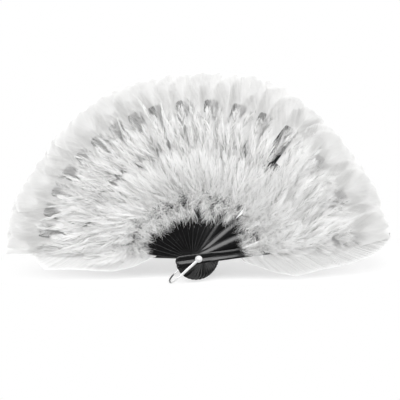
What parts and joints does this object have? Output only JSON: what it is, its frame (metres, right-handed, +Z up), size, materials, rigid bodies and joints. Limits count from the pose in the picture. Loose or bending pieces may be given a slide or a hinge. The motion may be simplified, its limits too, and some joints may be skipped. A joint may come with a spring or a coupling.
{
  "type": "folding feather fan",
  "caption": "Folding hand fan, spread open: black plastic blades on a rivet with a wire bail, topped with broad flat white feathers over fluffy down, linked by a ribbon.",
  "frame": {"origin": "on the rivet's axis, halfway through the stack of blades", "axes": "+Z up through the middle of the spread, the face looks along -Y, the rivet runs along Y"},
  "size_m": [0.4905, 0.0485, 0.2785],
  "materials": {
    "blade_plastic": "glossy black, moulded",
    "flat_feather": "thin, translucent white vane",
    "down": "loose, matt white down",
    "ribbon_satin": "black satin weave",
    "silver_metal": "bright plated"
  },
  "bodies": {
    "front_leaf": {"front_guard": "blade_plastic", "flat_feathers_01": "flat_feather", "down_tuft_01": "down", "rivet_pin": "silver_metal", "front_washer": "silver_metal", "back_washer": "silver_metal", "link_ribbon": "ribbon_satin"},
    "leaf_02": {"blade_02": "blade_plastic", "flat_feathers_02": "flat_feather", "down_tuft_02": "down"},
    "leaf_03": {"blade_03": "blade_plastic", "flat_feathers_03": "flat_feather", "down_tuft_03": "down"},
    "leaf_04": {"blade_04": "blade_plastic", "flat_feathers_04": "flat_feather", "down_tuft_04": "down"},
    "leaf_05": {"blade_05": "blade_plastic", "flat_feathers_05": "flat_feather", "down_tuft_05": "down"},
    "leaf_06": {"blade_06": "blade_plastic", "flat_feathers_06": "flat_feather", "down_tuft_06": "down"},
    "leaf_07": {"blade_07": "blade_plastic", "flat_feathers_07": "flat_feather", "down_tuft_07": "down"},
    "leaf_08": {"blade_08": "blade_plastic", "flat_feathers_08": "flat_feather", "down_tuft_08": "down"},
    "leaf_09": {"blade_09": "blade_plastic", "flat_feathers_09": "flat_feather", "down_tuft_09": "down"},
    "leaf_10": {"blade_10": "blade_plastic", "flat_feathers_10": "flat_feather", "down_tuft_10": "down"},
    "leaf_11": {"blade_11": "blade_plastic", "flat_feathers_11": "flat_feather", "down_tuft_11": "down"},
    "leaf_12": {"blade_12": "blade_plastic", "flat_feathers_12": "flat_feather", "down_tuft_12": "down"},
    "leaf_13": {"blade_13": "blade_plastic", "flat_feathers_13": "flat_feather", "down_tuft_13": "down"},
    "leaf_14": {"blade_14": "blade_plastic", "flat_feathers_14": "flat_feather", "down_tuft_14": "down"},
    "leaf_15": {"blade_15": "blade_plastic", "flat_feathers_15": "flat_feather", "down_tuft_15": "down"},
    "leaf_16": {"blade_16": "blade_plastic", "flat_feathers_16": "flat_feather", "down_tuft_16": "down"},
    "leaf_17": {"blade_17": "blade_plastic", "flat_feathers_17": "flat_feather", "down_tuft_17": "down"},
    "back_leaf": {"back_guard": "blade_plastic", "flat_feathers_18": "flat_feather", "down_tuft_18": "down"},
    "bail": {"bail": "silver_metal"}
  },
  "joints": [
    {"name": "fan_fold", "type": "hinge", "parent": "front_leaf", "child": "back_leaf", "pos_m": [0, 0, 0], "axis": [0, 1, 0], "range_deg": [0, 170.95], "deforming": ["down_tuft_18", "link_ribbon"]},
    {"name": "leaf_02_fold", "type": "hinge", "parent": "front_leaf", "child": "leaf_02", "pos_m": [0, 0, 0], "axis": [0, 1, 0], "range_deg": [0, 15.91], "deforming": ["down_tuft_02"]},
    {"name": "leaf_03_fold", "type": "hinge", "parent": "front_leaf", "child": "leaf_03", "pos_m": [0, 0, 0], "axis": [0, 1, 0], "range_deg": [0, 31.81], "deforming": ["down_tuft_03"]},
    {"name": "leaf_04_fold", "type": "hinge", "parent": "front_leaf", "child": "leaf_04", "pos_m": [0, 0, 0], "axis": [0, 1, 0], "range_deg": [0, 47.71], "deforming": ["down_tuft_04"]},
    {"name": "leaf_05_fold", "type": "hinge", "parent": "front_leaf", "child": "leaf_05", "pos_m": [0, 0, 0], "axis": [0, 1, 0], "range_deg": [0, 57.96], "deforming": ["down_tuft_05"]},
    {"name": "leaf_06_fold", "type": "hinge", "parent": "front_leaf", "child": "leaf_06", "pos_m": [0, 0, 0], "axis": [0, 1, 0], "range_deg": [0, 68.21], "deforming": ["down_tuft_06"]},
    {"name": "leaf_07_fold", "type": "hinge", "parent": "front_leaf", "child": "leaf_07", "pos_m": [0, 0, 0], "axis": [0, 1, 0], "range_deg": [0, 78.46], "deforming": ["down_tuft_07"]},
    {"name": "leaf_08_fold", "type": "hinge", "parent": "front_leaf", "child": "leaf_08", "pos_m": [0, 0, 0], "axis": [0, 1, 0], "range_deg": [0, 88.71], "deforming": ["down_tuft_08"]},
    {"name": "leaf_09_fold", "type": "hinge", "parent": "front_leaf", "child": "leaf_09", "pos_m": [0, 0, 0], "axis": [0, 1, 0], "range_deg": [0, 98.96], "deforming": ["down_tuft_09"]},
    {"name": "leaf_10_fold", "type": "hinge", "parent": "front_leaf", "child": "leaf_10", "pos_m": [0, 0, 0], "axis": [0, 1, 0], "range_deg": [0, 106.96], "deforming": ["down_tuft_10"]},
    {"name": "leaf_11_fold", "type": "hinge", "parent": "front_leaf", "child": "leaf_11", "pos_m": [0, 0, 0], "axis": [0, 1, 0], "range_deg": [0, 114.96], "deforming": ["down_tuft_11"]},
    {"name": "leaf_12_fold", "type": "hinge", "parent": "front_leaf", "child": "leaf_12", "pos_m": [0, 0, 0], "axis": [0, 1, 0], "range_deg": [0, 122.96], "deforming": ["down_tuft_12"]},
    {"name": "leaf_13_fold", "type": "hinge", "parent": "front_leaf", "child": "leaf_13", "pos_m": [0, 0, 0], "axis": [0, 1, 0], "range_deg": [0, 130.96], "deforming": ["down_tuft_13"]},
    {"name": "leaf_14_fold", "type": "hinge", "parent": "front_leaf", "child": "leaf_14", "pos_m": [0, 0, 0], "axis": [0, 1, 0], "range_deg": [0, 138.96], "deforming": ["down_tuft_14"]},
    {"name": "leaf_15_fold", "type": "hinge", "parent": "front_leaf", "child": "leaf_15", "pos_m": [0, 0, 0], "axis": [0, 1, 0], "range_deg": [0, 146.96], "deforming": ["down_tuft_15"]},
    {"name": "leaf_16_fold", "type": "hinge", "parent": "front_leaf", "child": "leaf_16", "pos_m": [0, 0, 0], "axis": [0, 1, 0], "range_deg": [0, 154.96], "deforming": ["down_tuft_16"]},
    {"name": "leaf_17_fold", "type": "hinge", "parent": "front_leaf", "child": "leaf_17", "pos_m": [0, 0, 0], "axis": [0, 1, 0], "range_deg": [0, 162.96], "deforming": ["down_tuft_17"]},
    {"name": "bail_swing", "type": "hinge", "parent": "front_leaf", "child": "bail", "pos_m": [0, 0, 0], "axis": [0, -1, 0], "range_deg": [-32, 128]}
  ],
  "couplings": [
    {"joint": "leaf_02_fold", "follows": "fan_fold", "ratio": 0.09301},
    {"joint": "leaf_03_fold", "follows": "fan_fold", "ratio": 0.18602},
    {"joint": "leaf_04_fold", "follows": "fan_fold", "ratio": 0.27903},
    {"joint": "leaf_05_fold", "follows": "fan_fold", "ratio": 0.33899},
    {"joint": "leaf_06_fold", "follows": "fan_fold", "ratio": 0.39895},
    {"joint": "leaf_07_fold", "follows": "fan_fold", "ratio": 0.45891},
    {"joint": "leaf_08_fold", "follows": "fan_fold", "ratio": 0.51887},
    {"joint": "leaf_09_fold", "follows": "fan_fold", "ratio": 0.57882},
    {"joint": "leaf_10_fold", "follows": "fan_fold", "ratio": 0.62562},
    {"joint": "leaf_11_fold", "follows": "fan_fold", "ratio": 0.67242},
    {"joint": "leaf_12_fold", "follows": "fan_fold", "ratio": 0.71922},
    {"joint": "leaf_13_fold", "follows": "fan_fold", "ratio": 0.76601},
    {"joint": "leaf_14_fold", "follows": "fan_fold", "ratio": 0.81281},
    {"joint": "leaf_15_fold", "follows": "fan_fold", "ratio": 0.85961},
    {"joint": "leaf_16_fold", "follows": "fan_fold", "ratio": 0.90641},
    {"joint": "leaf_17_fold", "follows": "fan_fold", "ratio": 0.9532}
  ]
}
